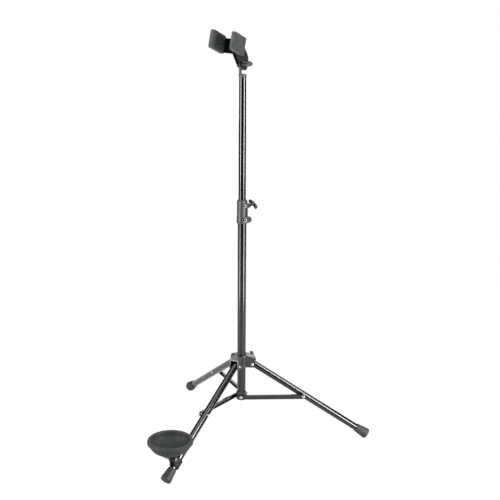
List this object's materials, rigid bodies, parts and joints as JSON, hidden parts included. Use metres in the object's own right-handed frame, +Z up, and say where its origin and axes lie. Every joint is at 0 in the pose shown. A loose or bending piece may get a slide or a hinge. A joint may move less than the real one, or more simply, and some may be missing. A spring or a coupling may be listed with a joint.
{
  "type": "bassoon stand",
  "caption": "folding tripod stand with a height-adjustable mast, a rubber cup on one leg and a tilting padded fork that together hold a bassoon upright",
  "frame": {"origin": "on the floor, at the middle of the rectangle that the whole stand covers seen from above", "axes": "+Z up along the mast, +X along the plain front leg away from the mast, +Y towards the back leg"},
  "size_m": [0.4986, 0.5631, 0.9633],
  "materials": {
    "black_coat": "glossy black powder coat",
    "hub_coat": "smooth glossy black moulding",
    "clamp_plastic": "satin black moulded plastic",
    "knob_plastic": "satin black moulded plastic with a steel screw",
    "bright_steel": "bright plated steel",
    "boot_rubber": "dark grey rubber",
    "cup_rubber": "dark grey satin rubber",
    "pad_rubber": "dark grey soft rubber"
  },
  "bodies": {
    "mast": {"lower_tube": "black_coat", "base_fitting": "clamp_plastic", "height_clamp": "clamp_plastic", "clamp_nut_upper": "bright_steel", "clamp_nut_lower": "bright_steel", "clamp_screw": "black_coat", "base_rivet_right": "bright_steel", "base_rivet_back": "bright_steel", "base_rivet_cup": "bright_steel"},
    "hub": {"tripod_hub": "hub_coat", "leg_rivet_right": "bright_steel", "leg_rivet_back": "bright_steel", "leg_rivet_cup": "bright_steel"},
    "hub_lock": {"hub_knob": "knob_plastic"},
    "height_lock": {"height_knob": "knob_plastic"},
    "glide": {"glide_bush": "clamp_plastic"},
    "riser": {"upper_tube": "black_coat", "head_plug": "clamp_plastic"},
    "fork": {"neck_bracket": "black_coat", "fork_yoke": "black_coat", "yoke_rivet_upper": "black_coat", "yoke_rivet_lower": "black_coat", "pad_left": "pad_rubber", "pad_right": "pad_rubber", "pad_screw_left": "black_coat", "pad_screw_right": "black_coat", "neck_nut": "bright_steel"},
    "fork_lock": {"neck_knob": "knob_plastic"},
    "cup_carriage": {"cup_saddle": "clamp_plastic", "cup_nut": "bright_steel"},
    "cup_holder": {"cup_bracket": "clamp_plastic", "cup": "cup_rubber", "cup_screw": "bright_steel"},
    "cup_lock": {"cup_knob": "knob_plastic"},
    "leg_right": {"leg_right": "black_coat", "boot_right": "boot_rubber", "rivet_tail_right": "bright_steel"},
    "strut_right": {"strut_right": "black_coat", "strut_rivet_right": "bright_steel"},
    "leg_back": {"leg_back": "black_coat", "boot_back": "boot_rubber", "rivet_tail_back": "bright_steel"},
    "strut_back": {"strut_back": "black_coat", "strut_rivet_back": "bright_steel"},
    "leg_cup": {"leg_cup": "black_coat", "boot_cup": "boot_rubber", "rivet_tail_cup": "bright_steel"},
    "strut_cup": {"strut_cup": "black_coat", "strut_rivet_cup": "bright_steel"}
  },
  "joints": [
    {"name": "hub_slide", "type": "slide", "parent": "mast", "child": "hub", "axis": [0, 0, 1], "range_m": [0, 0.2075]},
    {"name": "leg_fold_right", "type": "hinge", "parent": "hub", "child": "leg_right", "pos_m": [-0.0322, 0.0128, 0.1852], "axis": [0, 1, 0], "range_deg": [0, 57.46]},
    {"name": "leg_fold_back", "type": "hinge", "parent": "hub", "child": "leg_back", "pos_m": [-0.0712, 0.03532, 0.1852], "axis": [-0.866, -0.5, 0], "range_deg": [0, 57.46]},
    {"name": "leg_fold_cup", "type": "hinge", "parent": "hub", "child": "leg_cup", "pos_m": [-0.0712, -0.00972, 0.1852], "axis": [0.866, -0.5, 0], "range_deg": [0, 57.46]},
    {"name": "strut_fold_right", "type": "hinge", "parent": "mast", "child": "strut_right", "pos_m": [-0.0582, 0.0128, 0.1012], "axis": [0, -1, 0], "range_deg": [0, 77.69]},
    {"name": "strut_fold_back", "type": "hinge", "parent": "mast", "child": "strut_back", "pos_m": [-0.0582, 0.0128, 0.1012], "axis": [0.866, 0.5, 0], "range_deg": [0, 77.69]},
    {"name": "strut_fold_cup", "type": "hinge", "parent": "mast", "child": "strut_cup", "pos_m": [-0.0582, 0.0128, 0.1012], "axis": [-0.866, 0.5, 0], "range_deg": [0, 77.69]},
    {"name": "hub_lock_turn", "type": "hinge", "parent": "hub", "child": "hub_lock", "pos_m": [-0.0582, 0.0128, 0.1862], "axis": [0.5, 0.866, 0], "continuous": true},
    {"name": "height_lock_turn", "type": "hinge", "parent": "mast", "child": "height_lock", "pos_m": [-0.04687, 0.00457, 0.5681], "axis": [0.5878, 0.809, 0], "continuous": true},
    {"name": "height_slide", "type": "slide", "parent": "mast", "child": "glide", "axis": [0, 0, 1], "range_m": [-0.24, 0.1]},
    {"name": "riser_swivel", "type": "hinge", "parent": "glide", "child": "riser", "pos_m": [-0.0582, 0.0128, 0.8553], "axis": [0, 0, 1], "continuous": true},
    {"name": "fork_tilt", "type": "hinge", "parent": "riser", "child": "fork", "pos_m": [-0.0639, 0.01466, 0.8855], "axis": [0.9505, -0.3107, 0], "range_deg": [-25, 40]},
    {"name": "fork_lock_turn", "type": "hinge", "parent": "fork", "child": "fork_lock", "pos_m": [-0.0639, 0.01466, 0.8855], "axis": [0.9505, -0.3107, 0], "continuous": true},
    {"name": "cup_slide", "type": "slide", "parent": "leg_cup", "child": "cup_carriage", "axis": [0.4214, 0.7299, 0.5382], "range_m": [-0.004, 0.09]},
    {"name": "cup_tilt", "type": "hinge", "parent": "cup_carriage", "child": "cup_holder", "pos_m": [-0.19407, -0.22253, 0.04867], "axis": [-0.866, 0.5, 0], "range_deg": [-28, 16]},
    {"name": "cup_lock_turn", "type": "hinge", "parent": "cup_carriage", "child": "cup_lock", "pos_m": [-0.19407, -0.22253, 0.04867], "axis": [-0.866, 0.5, 0], "continuous": true}
  ],
  "couplings": [
    {"joint": "leg_fold_right", "follows": "hub_slide", "rad_per_m": 4.831},
    {"joint": "leg_fold_back", "follows": "hub_slide", "rad_per_m": 4.831},
    {"joint": "leg_fold_cup", "follows": "hub_slide", "rad_per_m": 4.831},
    {"joint": "strut_fold_right", "follows": "hub_slide", "rad_per_m": 6.5328},
    {"joint": "strut_fold_back", "follows": "hub_slide", "rad_per_m": 6.5328},
    {"joint": "strut_fold_cup", "follows": "hub_slide", "rad_per_m": 6.5328}
  ]
}
